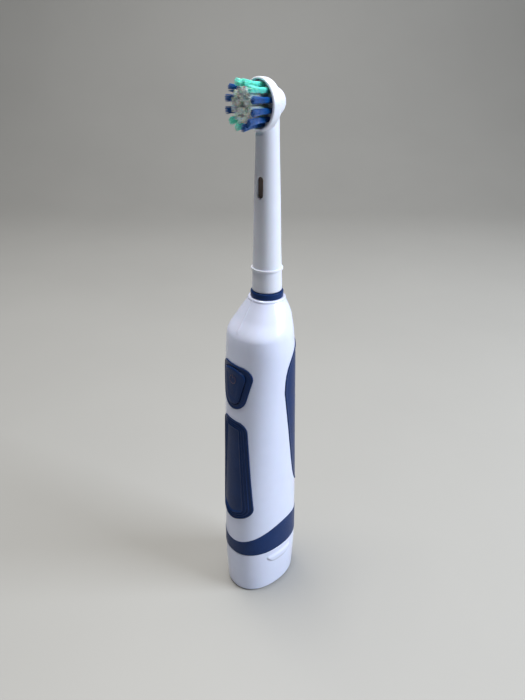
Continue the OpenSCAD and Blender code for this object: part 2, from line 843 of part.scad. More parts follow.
module neck_shell() {
    color(white) translate([0, axis_y, 0]) difference() {
        union() {
            rotate_extrude($fn = round_fn) polygon(concat([[0, sleeve_z]], [for (p = NECK) [p[1], p[0]]],
                [[neck_top_r, head_z], [0, head_z]]));
            translate([0, 0, head_z]) rotate([-90, 0, 0]) rotate_extrude($fn = round_fn)
                polygon(concat([[0, -rim_y], [rim_r, -rim_y]], [for (t = [0:10:60]) bowl(t)],
                    [[0, -bowl_y + bowl_depth]]));
            translate([0, boss_y, head_z + boss_rise]) sphere(boss_r, $fn = round_fn);
        }
        translate([0, 0, sleeve_z - 1]) cylinder(h = spigot_top + 1.5 - sleeve_z + 1, r = sleeve_in, $fn = round_fn);
        translate([0, 0, sleeve_z]) cylinder(h = socket_top + 2 - sleeve_z, r = chamber_r, $fn = round_fn);
        translate([0, 0, sleeve_z]) cylinder(h = total_h - 22 - sleeve_z, r = neck_bore_r, $fn = round_fn);
        translate([0, 0, sleeve_z]) cylinder(h = head_z - 4 - sleeve_z, r = guide_r, $fn = round_fn);
        translate([0, 0, total_h - 19]) cylinder(h = head_z - 1 - total_h + 19, r = neck_bore_r, $fn = round_fn);
        translate([0, 0, head_z]) rotate([-90, 0, 0]) {
            translate([0, 0, -rim_y - 1]) cylinder(h = 1 + rim_y - cavity_back, r = rim_r - rim_wall, $fn = round_fn);
            translate([0, 0, -rim_y]) cylinder(h = rim_y + hub_back + 0.3, r = 2.9, $fn = round_fn);
            translate([0, 0, 0]) cylinder(h = boss_y + 3, r = disc_axle_r, $fn = 32);
        }
        drop_slot();
        translate([0, 0, ring_z]) difference() {
            cylinder(h = ring_t, r = sleeve_r + 2, $fn = round_fn);
            translate([0, 0, -1]) cylinder(h = ring_t + 2, r = sleeve_r - 0.5, $fn = round_fn);
        }
    }
}

module id_ring() {
    color([0.97, 0.97, 0.99]) translate([0, axis_y, ring_z]) difference() {
        cylinder(h = ring_t, r = sleeve_r + 0.35, $fn = round_fn);
        translate([0, 0, -1]) cylinder(h = ring_t + 2, r = sleeve_r - 0.5, $fn = round_fn);
    }
}

module disc_axle() {
    color(steel) translate([0, axis_y, head_z]) rotate([-90, 0, 0])
        translate([0, 0, -axle_front]) cylinder(h = axle_front + boss_y + 3, r = disc_axle_r, $fn = 32);
}

module drive_link() {
    color([0.88, 0.88, 0.86]) translate([0, axis_y, 0]) union() {
        difference() {
            translate([0, 0, socket_z]) cylinder(h = socket_top - socket_z, r = socket_r, $fn = round_fn);
            translate([0, 0, socket_z - 1]) d_bar(shaft_r + 0.05, shaft_flat + 0.05, shaft_top + 0.5 - socket_z + 1);
        }
        translate([0, 0, socket_top - eps])
            cylinder(h = head_z - pin_drop + ball_r - socket_top + eps, r = rod_r, $fn = round_fn);
        translate([0, -0.5, head_z - pin_drop]) rotate([90, 0, 0])
            cylinder(h = pin_reach - 0.5, r = 0.35, $fn = 32);
        translate([0, -pin_reach, head_z - pin_drop]) sphere(ball_r, $fn = 32);
    }
}

module brush_disc() {
    disc_r = rim_r - rim_wall - disc_gap;
    slot_half = ball_r + 0.08;
    color([0.90, 0.92, 0.94]) translate([0, axis_y, head_z]) rotate([-90, 0, 0]) difference() {
        union() {
            translate([0, 0, -disc_back - disc_t]) cylinder(h = disc_t, r = disc_r, $fn = round_fn);
            translate([0, 0, -disc_back - eps]) cylinder(h = disc_back + hub_back + eps, r = hub_r, $fn = round_fn);
        }
        translate([0, 0, -disc_back - disc_t + 0.4])
            cylinder(h = disc_t + disc_back + hub_back + 1, r = disc_axle_r + running_gap, $fn = 32);
        translate([-slot_half, 1.75, -disc_back - disc_t + 0.3]) cube([2 * slot_half, 2.0, disc_t + 1]);
    }
}

// Tufts: bristle bundles on the face of the disc.
face_y = axis_y - disc_back - disc_t;
outer_ring = 5.95;
middle_ring = 4.0;
inner_ring = 1.9;

module tuft(radius, angle, length) {
    translate([radius * cos(angle), face_y, head_z + radius * sin(angle)]) rotate([90, 0, 0])
        cylinder(h = length, r = tuft_r, $fn = 24);
}

// Twelve outer tufts, turned a little because the disc can stop anywhere in its swing.
pitch_angle = 30;
tuft_turn = -16;

module outer_tufts(places, length) {
    for (k = places) tuft(outer_ring, tuft_turn + pitch_angle * k, length);
}

module blue_tufts() {
    color([0.05, 0.30, 0.60]) outer_tufts([-2, -1, 0, 1, 5, 6, 7], bristle_l);
}

module green_tufts() {
    color([0.45, 0.95, 0.87]) outer_tufts([2, 3, 4, 8, 9], bristle_l - 0.2);
}

module inner_tufts() {
    color([0.82, 0.88, 0.90]) {
        for (k = [0:11]) tuft(middle_ring, 30 * k + 15, bristle_l - 0.8);
        for (k = [0:4]) tuft(inner_ring, 72 * k + 90, bristle_l - 1);
    }
}

// Battery cap --------------------------------------------------------------------

cap_gap = 0.25;
floor_t = 1.8;
upstand = 5;
upstand_gap = 0.25;
upstand_t = 1.1;
seal_z = band_low + 2.2;
seal_r = 0.45;

module lug() {
    lug_z = band_low - 6.8;
    for (s = [-1, 1]) hull() for (p = [-5.5, 5.5]) translate([s * (belly_half - 0.7), p + 0.5, lug_z])
        scale([1, 1, 1.3]) sphere(1.3, $fn = 16);
}

module base_cap() {
    cap_top = band_low - cap_gap;
    color(white) as_mesh() difference() {
        union() {
            loft(concat([for (a = [0:30:90]) ring(base_edge * (1 - cos(a)), -base_edge * (1 - sin(a)))],
                [for (z = [belly_z * 0.35, belly_z * 0.7, belly_z]) ring(z, 0)], [ring(cap_top, 0)]));
            form(belly_z - 4, band_low + upstand, -wall - upstand_gap, 5);
            lug();
        }
        form(floor_t, band_low + upstand + 1, -wall - upstand_gap - upstand_t, 8);
        difference() {
            form(seal_z - 0.5, seal_z + 0.5, 0, 9);
            form(seal_z - 1, seal_z + 1, -wall - upstand_gap - 0.45, 9);
        }
    }
}

module cap_seal() {
    color([0.2, 0.2, 0.22]) as_mesh() difference() {
        form(seal_z - seal_r, seal_z + seal_r, -wall - touch_gap, 9);
        form(seal_z - 1, seal_z + 1, -wall - upstand_gap - 0.4, 9);
    }
}

plate_half_x = 4.5;
spring_low = floor_t + contact_t;

module base_contact() {
    color(brass) {
        translate([-plate_half_x, -cell_y - 5, floor_t]) cube([2 * plate_half_x, 2 * cell_y + 8, contact_t]);
        translate([-2, cell_y + 2.4, floor_t]) cube([4, contact_t, cell_z - touch_gap - floor_t]);
        translate([-2, cell_y - 2.4, cell_z - touch_gap - contact_t]) cube([4, 4.8 + contact_t, contact_t]);
    }
}

// Cone spring under the front cell, swept along a helix.
wire_r = 0.35;
spring_low_r = 5;
spring_high_r = 3;
spring_turns = 4;
spring_steps = 14;
function coil(t) =
    let (n = spring_turns * 360 * t, r = spring_low_r + (spring_high_r - spring_low_r) * t)
    [r * cos(n), -cell_y + r * sin(n),
        spring_low + wire_r + (cell_z - touch_gap - spring_low - 2 * wire_r) * t];

module battery_spring() {
    count = spring_turns * spring_steps;
    color(steel) loft([for (j = [0:count]) let (t = j / count, p = coil(t), n = spring_turns * 360 * t)
        [for (k = [0:6]) let (a = 360 * k / 7)
            p + wire_r * [cos(a) * cos(n), cos(a) * sin(n), sin(a)]]]);
}

housing();
collar_ring();
neck_spigot();
button_surround();
front_grip();
rear_grip();
lower_band();
chassis();
gearbox_plate();
gearbox_screws();
motor_can();
motor_magnets();
motor_end_cap();
gear_axle();
lower_bush();
upper_bush();
shaft_seal();
circuit_board();
switch_body();
battery_front();
battery_rear();
contact_front();
contact_rear();
switch_lead();
motor_lead_front();
motor_lead_rear();
power_button();
switch_plunger();
motor_shaft();
armature();
commutator();
motor_pinion();
crank_gear();
crank_pin();
drive_shaft();
shaft_fork();
neck_shell();
id_ring();
disc_axle();
drive_link();
brush_disc();
blue_tufts();
green_tufts();
inner_tufts();
base_cap();
cap_seal();
base_contact();
battery_spring();
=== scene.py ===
import json
import math
import random

import bmesh
import bpy
import numpy as np
from mathutils import Matrix, Vector


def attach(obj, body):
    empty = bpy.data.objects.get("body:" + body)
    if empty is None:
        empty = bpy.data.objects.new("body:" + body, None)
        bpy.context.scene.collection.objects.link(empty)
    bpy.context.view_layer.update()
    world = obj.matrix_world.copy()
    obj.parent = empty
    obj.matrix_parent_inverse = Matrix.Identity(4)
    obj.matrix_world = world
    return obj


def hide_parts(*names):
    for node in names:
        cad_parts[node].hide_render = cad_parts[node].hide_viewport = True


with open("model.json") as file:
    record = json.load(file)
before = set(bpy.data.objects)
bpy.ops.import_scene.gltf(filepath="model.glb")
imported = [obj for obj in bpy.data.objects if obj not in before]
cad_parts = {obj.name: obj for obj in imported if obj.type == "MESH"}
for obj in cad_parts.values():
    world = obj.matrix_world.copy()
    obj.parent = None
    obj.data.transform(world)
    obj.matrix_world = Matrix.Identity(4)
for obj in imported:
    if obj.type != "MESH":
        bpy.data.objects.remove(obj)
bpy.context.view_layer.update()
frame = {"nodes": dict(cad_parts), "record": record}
MM = 0.001
rng = random.Random(7)

# ---------------------------------------------------------------- sizes, in millimetres, as in part.scad
AXIS_Y = 3.4
HANDLE_H = 149.2
TOTAL_H = 225.0
OVAL = 2.2
COLLAR_R = 6.7
CROWN_Z = 128.0
BAND_LOW = 24.8
BELLY_Z = 20.0
WALL = 1.6
RIM_R = 8.2
RIM_Y = 4.4
HEAD_Z = TOTAL_H - RIM_R
SLEEVE_Z = HANDLE_H + 2.55
SPIGOT_R = 4.6
STATIONS = np.array([
    [0, -17.6, 16.9, 12.9],
    [BELLY_Z, -18.1, 17.85, 13.4],
    [45, -17.6, 17.4, 13.4],
    [80, -16.0, 15.8, 13.5],
    [105, -14.8, 14.6, 13.7],
    [CROWN_Z, -13.2, 13.2, 14.1],
    [CROWN_Z + (HANDLE_H - CROWN_Z) / 3, -12.5, 12.6, 13.6],
    [CROWN_Z + (HANDLE_H - CROWN_Z) * 2 / 3, AXIS_Y - COLLAR_R - 4.8, AXIS_Y + COLLAR_R + 2.2,
     COLLAR_R + 4.1],
    [HANDLE_H, AXIS_Y - COLLAR_R, AXIS_Y + COLLAR_R, COLLAR_R]])

# ---------------------------------------------------------------- the handle's form
heights = STATIONS[:, 0]
secants = np.diff(STATIONS[:, 1:], axis=0) / np.diff(heights)[:, None]
slopes = np.zeros((len(heights), 3))
slopes[0], slopes[-1] = secants[0], secants[-1]
for k in range(1, len(heights) - 1):
    same = secants[k - 1] * secants[k] > 0
    total = np.where(same, secants[k - 1] + secants[k], 1.0)
    slopes[k] = np.where(same, 2 * secants[k - 1] * secants[k] / total, 0.0)


def form_at(z):
    """Front, back and half width of the handle at each height."""
    z = np.asarray(z, float)
    k = np.clip(np.searchsorted(heights, z, side="right") - 1, 0, len(heights) - 2)
    h = heights[k + 1] - heights[k]
    t = ((z - heights[k]) / h)[..., None]
    h = h[..., None]
    return (STATIONS[k, 1:] * (2 * t**3 - 3 * t**2 + 1) + slopes[k] * h * (t**3 - 2 * t**2 + t)
            + STATIONS[k + 1, 1:] * (3 * t**2 - 2 * t**3) + slopes[k + 1] * h * (t**3 - t**2))


def axes_at(z):
    """Centre, half depth and half width at each height."""
    f = form_at(z)
    return (f[..., 0] + f[..., 1]) / 2, (f[..., 1] - f[..., 0]) / 2, f[..., 2]


def normals(p):
    """Outward normals of the form at points on it."""
    yc, b, a = axes_at(p[..., 2])
    step = 0.01
    yc2, b2, a2 = axes_at(p[..., 2] + step)
    u, v = p[..., 0] / a, (p[..., 1] - yc) / b
    gu = OVAL * np.sign(u) * np.abs(u) ** (OVAL - 1)
    gv = OVAL * np.sign(v) * np.abs(v) ** (OVAL - 1)
    n = np.stack([gu / a, gv / b,
                  -gu * u * (a2 - a) / step / a - gv * (v * (b2 - b) + (yc2 - yc)) / step / b], -1)
    return n / np.linalg.norm(n, axis=-1, keepdims=True)


def on_form(theta, z):
    """Points of the form at an angle (0 is +X, 90 degrees is the back) and a height."""
    yc, b, a = axes_at(z)
    c, s = np.cos(theta), np.sin(theta)
    return np.stack([a * np.sign(c) * np.abs(c) ** (2 / OVAL),
                     yc + b * np.sign(s) * np.abs(s) ** (2 / OVAL),
                     np.broadcast_to(z, np.shape(a)) + 0 * c], -1)


def on_front(x, z):
    """Points of the form's front face above (x, z)."""
    yc, b, a = axes_at(z)
    u = np.clip(np.abs(x) / a, 0, 1)
    return np.stack([x, yc - b * (1 - u ** OVAL) ** (1 / OVAL), z + 0 * x], -1)


def shrink(theta, z, grow):
    """Rings with their half sizes changed by grow, as part.scad makes its walls."""
    yc, b, a = axes_at(z)
    c, s = np.cos(theta), np.sin(theta)
    return np.stack([(a + grow) * np.sign(c) * np.abs(c) ** (2 / OVAL),
                     yc + (b + grow) * np.sign(s) * np.abs(s) ** (2 / OVAL), z + 0 * c], -1)


def smooth(t):
    t = np.clip(t, 0, 1)
    return t * t * (3 - 2 * t)


# ---------------------------------------------------------------- mesh helpers
def make(name, points, faces, mats, body, replaces=(), flat=False):
    """A piece from points in millimetres."""
    mesh = bpy.data.meshes.new(name)
    mesh.from_pydata((np.asarray(points, float) * MM).tolist(), [], [list(map(int, f)) for f in faces])
    mesh.update()
    piece = bpy.data.objects.new(name, mesh)
    bpy.context.scene.collection.objects.link(piece)
    for m in (mats if isinstance(mats, (list, tuple)) else [mats]):
        mesh.materials.append(m)
    mesh.polygons.foreach_set("use_smooth", [not flat] * len(mesh.polygons))
    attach(piece, body)
    if replaces:
        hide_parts(*replaces)
    return piece


def grid_faces(rows, cols, closed=True, start=0):
    """Quads of a grid of rows by columns; rows go up and columns run anticlockwise seen from above."""
    k = np.arange(cols if closed else cols - 1)
    j = np.arange(rows - 1)
    kk, jj = np.meshgrid(k, j)
    n = (kk + 1) % cols
    f = np.stack([jj * cols + kk, jj * cols + n, (jj + 1) * cols + n, (jj + 1) * cols + kk], -1)
    return (f.reshape(-1, 4) + start)


def lathe(profile, count=96, closed=True):
    """Points and faces of a profile of (radius, height) turned about the drive axis, bottom up on the
    outside."""
    t = np.linspace(0, 2 * np.pi, count, endpoint=False)
    pts = np.concatenate([np.stack([r * np.cos(t), AXIS_Y + r * np.sin(t), np.full(count, z)], -1) for r,
                          z in profile])
    faces = grid_faces(len(profile), count).tolist()
    if closed:
        m = len(profile)
        faces += [[(m - 1) * count + k, (m - 1) * count + (k + 1) % count, (k + 1) % count, k]
                  for k in range(count)]
    return pts, faces


def rounded(corners, radii, steps=5):
    """A closed profile with its corners rounded."""
    out = []
    m = len(corners)
    for i, (c, r) in enumerate(zip(corners, radii)):
        c = np.array(c, float)
        a, b = np.array(corners[i - 1], float) - c, np.array(corners[(i + 1) % m], float) - c
        if r <= 0:
            out.append(tuple(c))
            continue
        ua, ub = a / np.linalg.norm(a), b / np.linalg.norm(b)
        p, q = c + ua * r, c + ub * r
        for t in np.linspace(0, 1, steps):
            out.append(tuple((1 - t) ** 2 * p + 2 * t * (1 - t) * c + t * t * q))
    return out


def hull_line(circles, count):
    """The line round a set of circles (x, z, r), evenly spaced and slightly smoothed."""
    best = []
    for phi in np.linspace(0, 2 * np.pi, 1440, endpoint=False):
        n = np.array([math.cos(phi), math.sin(phi)])
        x, z, r = max(circles, key=lambda c: c[0] * n[0] + c[1] * n[1] + c[2])
        best.append([x + r * n[0], z + r * n[1]])
    best = np.array(best + best[:1])
    length = np.concatenate([[0], np.cumsum(np.linalg.norm(np.diff(best, axis=0), axis=1))])
    s = np.linspace(0, length[-1], count, endpoint=False)
    line = np.stack([np.interp(s, length, best[:, i]) for i in (0, 1)], -1)
    for _ in range(6):
        line = 0.5 * line + 0.25 * (np.roll(line, 1, 0) + np.roll(line, -1, 0))
    return line


def inward(line):
    """Unit inward normals of an anticlockwise closed line."""
    t = np.roll(line, -1, 0) - np.roll(line, 1, 0)
    n = np.stack([-t[:, 1], t[:, 0]], -1)
    return n / np.linalg.norm(n, axis=1, keepdims=True)


def inside_by(line, x, z):
    """How far points lie inside a closed line (negative outside)."""
    p = np.stack([x, z], -1).reshape(-1, 2)
    a, b = line, np.roll(line, -1, 0)
    out = np.empty(len(p))
    for i in range(0, len(p), 4000):
        q = p[i:i + 4000, None, :]
        ab = b - a
        t = np.clip(((q - a) * ab).sum(-1) / ((ab ** 2).sum(-1) + 1e-12), 0, 1)
        d = np.linalg.norm(q - (a + t[..., None] * ab), axis=-1).min(1)
        cross = ((a[:, 1] > q[..., 1]) != (b[:, 1] > q[..., 1])) & (
            q[..., 0] < (b[:, 0] - a[:, 0]) * (q[..., 1] - a[:, 1]) / (b[:, 1] - a[:, 1] + 1e-12) + a[:, 0])
        out[i:i + 4000] = np.where(cross.sum(1) % 2 == 1, d, -d)
    return out.reshape(np.shape(x))


def bump(d, centre, half, height):
    """A rounded ridge across a distance."""
    return height * np.maximum(0, 1 - ((d - centre) / half) ** 2)


# ---------------------------------------------------------------- materials
def shader(name, base, rough, metallic=0.0, var=0.05, var_scale=220.0, fine=0.02, fine_scale=2600.0,
           coat=0.0, rough_var=0.08, sheen=0.0, transmission=0.0, stretch=None, spec=0.5, sss=0.0):
    """A procedural material: colour variation, uneven gloss and a fine surface grain."""
    m = bpy.data.materials.new(name)
    m.use_nodes = True
    t = m.node_tree
    b = t.nodes["Principled BSDF"]
    b.inputs["Metallic"].default_value = metallic
    b.inputs["Coat Weight"].default_value = coat
    b.inputs["Coat Roughness"].default_value = 0.08
    b.inputs["Sheen Weight"].default_value = sheen
    b.inputs["Transmission Weight"].default_value = transmission
    b.inputs["Specular IOR Level"].default_value = spec
    if sss:
        b.inputs["Subsurface Weight"].default_value = sss
        b.inputs["Subsurface Scale"].default_value = 0.002
    coord = t.nodes.new("ShaderNodeTexCoord")
    place = t.nodes.new("ShaderNodeMapping")
    place.inputs["Scale"].default_value = stretch or (1, 1, 1)
    t.links.new(coord.outputs["Object"], place.inputs["Vector"])
    wide = t.nodes.new("ShaderNodeTexNoise")
    wide.inputs["Scale"].default_value = var_scale
    wide.inputs["Detail"].default_value = 4
    t.links.new(place.outputs["Vector"], wide.inputs["Vector"])
    ramp = t.nodes.new("ShaderNodeValToRGB")
    ramp.color_ramp.elements[0].position = 0.3
    ramp.color_ramp.elements[1].position = 0.7
    ramp.color_ramp.elements[0].color = [max(0, c * (1 - var)) for c in base] + [1]
    ramp.color_ramp.elements[1].color = [min(1, c * (1 + var)) for c in base] + [1]
    t.links.new(wide.outputs["Fac"], ramp.inputs["Fac"])
    t.links.new(ramp.outputs["Color"], b.inputs["Base Color"])
    level = t.nodes.new("ShaderNodeMapRange")
    level.inputs["To Min"].default_value = max(0.02, rough - rough_var)
    level.inputs["To Max"].default_value = rough + rough_var
    grain = t.nodes.new("ShaderNodeTexNoise")
    grain.inputs["Scale"].default_value = fine_scale
    grain.inputs["Detail"].default_value = 3
    t.links.new(place.outputs["Vector"], grain.inputs["Vector"])
    t.links.new(wide.outputs["Fac"], level.inputs["Value"])
    t.links.new(level.outputs["Result"], b.inputs["Roughness"])
    rise = t.nodes.new("ShaderNodeBump")
    rise.inputs["Strength"].default_value = fine
    rise.inputs["Distance"].default_value = 0.0002
    t.links.new(grain.outputs["Fac"], rise.inputs["Height"])
    t.links.new(rise.outputs["Normal"], b.inputs["Normal"])
    return m


MATS = {
    "white_shell": shader("white_shell", (0.66, 0.725, 0.95), 0.22, var=0.012, fine=0.05, coat=0.25,
                          rough_var=0.04, sss=0.04),
    "white_neck": shader("white_neck", (0.71, 0.755, 0.89), 0.30, var=0.012, fine=0.08, rough_var=0.05,
                         sss=0.06),
    "navy_soft": shader("navy_soft", (0.007, 0.028, 0.115), 0.34, var=0.10, fine=0.25, fine_scale=5200,
                        rough_var=0.05, spec=0.12),
    "grey_plastic": shader("grey_plastic", (0.30, 0.32, 0.35), 0.5, var=0.05, fine=0.2),
    "cream_plastic": shader("cream_plastic", (0.78, 0.76, 0.66), 0.38, var=0.03, fine=0.1),
    "black_plastic": shader("black_plastic", (0.02, 0.02, 0.023), 0.45, var=0.1, fine=0.2),
    "black_rubber": shader("black_rubber", (0.02, 0.02, 0.022), 0.6, var=0.1, fine=0.4),
    "steel": shader("steel", (0.62, 0.63, 0.65), 0.28, metallic=1, var=0.06, fine=0.25, stretch=(1, 1, 14)),
    "bronze": shader("bronze", (0.50, 0.30, 0.13), 0.4, metallic=1, var=0.12, fine=0.3),
    "contact_metal": shader("contact_metal", (0.62, 0.50, 0.28), 0.3, metallic=1, var=0.08, fine=0.15,
                            stretch=(8, 1, 1)),
    "magnet": shader("magnet", (0.035, 0.035, 0.04), 0.65, var=0.2, fine=0.6),
    "winding": shader("winding", (0.42, 0.15, 0.05), 0.35, metallic=0.6, var=0.2, fine=0.5,
                      stretch=(1, 1, 10)),
    "green_board": shader("green_board", (0.02, 0.13, 0.05), 0.3, var=0.1, fine=0.1, coat=0.3),
    "cell_jacket": shader("cell_jacket", (0.42, 0.27, 0.07), 0.3, metallic=0.5, var=0.08, fine=0.1,
                          coat=0.4),
    "clear_plastic": shader("clear_plastic", (0.62, 0.68, 0.74), 0.2, var=0.03, fine=0.1, coat=0.3,
                            sss=0.1),
    "blue_bristle": shader("blue_bristle", (0.002, 0.090, 0.37), 0.35, var=0.25, var_scale=900, fine=0.1,
                           sss=0.15),
    "green_bristle": shader("green_bristle", (0.15, 0.88, 0.74), 0.35, var=0.18, var_scale=900, fine=0.1,
                            sss=0.2),
    "clear_bristle": shader("clear_bristle", (0.90, 0.97, 0.97), 0.35, var=0.05, var_scale=900, fine=0.1,
                            sss=0.6),
}
MATS["mark"] = shader("power_mark_ink", (0.055, 0.035, 0.075), 0.35, var=0.15, fine=0.2)

# Carried-over CAD nodes take their slot's material.
slots = {s["node"]: s["material_slot"] for s in frame["record"]["subparts"]}
for node, thing in frame["nodes"].items():
    thing.data.materials.clear()
    thing.data.materials.append(MATS[slots[node]])

# ---------------------------------------------------------------- outlines on the front, x and z
crown = [(12 * math.sin(a), 124.2 - 12 + 12 * math.cos(a), 0) for a in np.linspace(-0.3, 0.3, 13)]
PAD = hull_line([(-4.7, 120, 4.3), (4.7, 120, 4.3), (0, 111.2, 7.0)] + crown, 320)
crown = [(12 * math.sin(a), 122.7 - 12 + 12 * math.cos(a), 0) for a in np.linspace(-0.21, 0.21, 13)]
BUTTON = hull_line([(-3.8, 119.5, 2.5), (3.8, 119.5, 2.5), (0, 110.6, 4.1)] + crown, 320)
GRIP = hull_line([(-3.4, 94.6, 4.2), (3.4, 94.6, 4.2), (-3.5, 53.5, 6.5), (3.5, 53.5, 6.5), (0, 91.8, 7),
                  (0, 53.6, 8)], 420)
GAP = 0.25
OPENING = BUTTON - inward(BUTTON) * GAP
SIDES = 288
theta = np.linspace(0, 2 * np.pi, SIDES, endpoint=False)


def band_top(y):
    """Upper edge of the soft band at a distance from the centre line."""
    y = np.asarray(y, float)
    front = 32 + 8.5 * (1 - np.clip((5 - y) / 23.1, 0, None) ** 1.6)
    back = 40.5 - 2.5 * ((y - 5) / 12.85) ** 2
    return np.where(y < 5, front, back)


LEAF_LOW, LEAF_HIGH, LEAF_WIDE, LEAF_Y = 52.0, 133.5, 111.0, 1.3


def leaf_edge(z):
    """How far behind the centre line the rear grip's edge is, seen from the side."""
    z = np.asarray(z, float)
    up = np.clip((z - LEAF_WIDE) / (LEAF_HIGH - LEAF_WIDE), 0, 1)
    down = np.clip((LEAF_WIDE - z) / (LEAF_WIDE - LEAF_LOW), 0, 1)
    return LEAF_Y + np.where(z > LEAF_WIDE, (14.2 - LEAF_Y) * up ** 3.2,
                             (18.4 - LEAF_Y) * (0.55 * down + 0.45 * down ** 10))


# ---------------------------------------------------------------- shell
def shell():
    step = 0.42
    z_out = np.concatenate([[BAND_LOW, BAND_LOW + 0.12], np.arange(BAND_LOW + 0.4, HANDLE_H - 1.3, step),
                            HANDLE_H - np.array([1.2, 0.95, 0.8, 0.7, 0.62, 0.4, 0.15, 0.0])])
    tt, zz = np.meshgrid(theta, z_out)
    p = on_form(tt, zz)
    n = normals(p)
    front = p[..., 1] < axes_at(zz)[0]
    h = np.zeros(p.shape[:2])
    near_grip = front & (np.abs(p[..., 0]) < 11) & (zz > 45) & (zz < 101)
    near_pad = front & (np.abs(p[..., 0]) < 10) & (zz > 103) & (zz < 125.5)
    d_grip = np.full(h.shape, -9.0)
    d_pad = np.full(h.shape, -9.0)
    d_hole = np.full(h.shape, -9.0)
    d_grip[near_grip] = inside_by(GRIP, p[..., 0][near_grip], zz[near_grip])
    d_pad[near_pad] = inside_by(PAD, p[..., 0][near_pad], zz[near_pad])
    d_hole[near_pad] = inside_by(OPENING, p[..., 0][near_pad], zz[near_pad])
    leaf = p[..., 1] - leaf_edge(zz)
    leaf[(zz < LEAF_LOW) | (zz > LEAF_HIGH)] = -9
    band = band_top(p[..., 1]) - zz
    for d in (d_grip, d_pad, leaf * 0.9, band * 0.9):
        h -= 0.75 * (d > 0.3)
    # a fine raised seam down the front of the shoulder, and the small flange under the collar
    rib = 0.34 * np.clip(1 - (np.abs(p[..., 0]) / 0.5) ** 2, 0, 1) * smooth((zz - 136.4) / 1.6) * front
    flange = 0.22 * smooth((zz - (HANDLE_H - 0.78)) / 0.12)
    h += np.maximum(rib, flange) - 0.22 * smooth((zz - (HANDLE_H - 0.16)) / 0.16)
    outer = p + n * h[..., None]
    z_in = np.concatenate([[HANDLE_H, HANDLE_H - WALL], np.linspace(HANDLE_H - WALL, BAND_LOW, 26)])
    inner = []
    for i, z in enumerate(z_in):
        if i < 2:
            ring = np.stack([(SPIGOT_R + 0.12) * np.cos(theta),
                             AXIS_Y + (SPIGOT_R + 0.12) * np.sin(theta), 0 * theta + z], -1)
        else:
            ring = shrink(theta, np.full(SIDES, z), -WALL)
        inner.append(ring)
    pts = np.concatenate([outer.reshape(-1, 3), np.concatenate(inner)])
    rows = len(z_out) + len(z_in)
    faces = grid_faces(rows, SIDES)
    last = np.arange(SIDES) + (rows - 1) * SIDES
    first = np.arange(SIDES)
    faces = np.concatenate([faces, np.stack([last, np.roll(last, -1), np.roll(first, -1), first], -1)])
    # the opening for the button, under its soft frame
    flat_d = np.concatenate([d_hole.reshape(-1), np.full(len(z_in) * SIDES, -9.0)])
    ip = pts[len(z_out) * SIDES:]
    zi = ip[:, 2]
    sel = (ip[:, 1] < 0) & (np.abs(ip[:, 0]) < 10) & (zi > 103) & (zi < 126)
    di = np.full(len(ip), -9.0)
    di[sel] = inside_by(OPENING, ip[sel, 0], zi[sel])
    flat_d[len(z_out) * SIDES:] = di
    keep = flat_d[faces].max(1) < -0.25
    inner_row = faces.min(1) >= len(z_out) * SIDES
    keep |= inner_row & (flat_d[faces].max(1) < 2.0)
    return make("shell", pts, faces[keep], MATS["white_shell"], "handle", ["housing"])


shell()


# ---------------------------------------------------------------- soft pads
def patch(name, line, dists, profile, spine, body, replaces, skirt=0.6):
    """A pad on the front: rings inside a closed line, raised by profile(distance), closed along a spine."""
    n_in = inward(line)
    rings, lifts = [line, line], [-skirt, -0.12]
    for d in dists:
        rings.append(line + n_in * d)
        lifts.append(profile(np.array(d)))
    if spine is not None:
        last = rings[-1]
        aim = np.stack([0 * last[:, 0], np.clip(last[:, 1], spine[0], spine[1])], -1)
        for t in np.linspace(0, 1, 14)[1:]:
            rings.append(last * (1 - t) + aim * t)
            lifts.append(profile(np.array(dists[-1] + 5 * t)))
    pts = []
    for ring, lift in zip(rings, lifts):
        p = on_front(ring[:, 0], ring[:, 1])
        pts.append(p + normals(p) * float(lift))
    # the line runs anticlockwise seen from the front, so the faces point outward as they are
    faces = grid_faces(len(rings), len(line))
    return make(name, np.concatenate(pts), faces, [MATS["navy_soft"]], body, replaces)


def border(d, height, base, width=0.85):
    """A rounded raised border that falls to a base level."""
    rise = height * np.sqrt(np.clip(1 - (1 - np.clip(d / 0.28, 0, 1)) ** 2, 0, 1))
    return float(base + (rise - base) * (1 - smooth((d - width * 0.6) / (width * 0.5))))


def grip_profile(d):
    """Border, then three ridges, then a flat soft field."""
    h = border(d, 0.34, 0.0)
    for c in (1.6, 2.65, 3.65):
        h = max(h, float(bump(d, c, 0.30, 0.34)))
    return h


fine = [0, 0.03, 0.07, 0.13, 0.2, 0.28, 0.36, 0.45, 0.55, 0.66, 0.78, 0.9, 1.02]
patch("grip_front", GRIP, fine + list(np.arange(1.12, 3.95, 0.085)), grip_profile, (60.5, 90.5), "handle",
      ["front_grip"])

n_pad = inward(PAD)


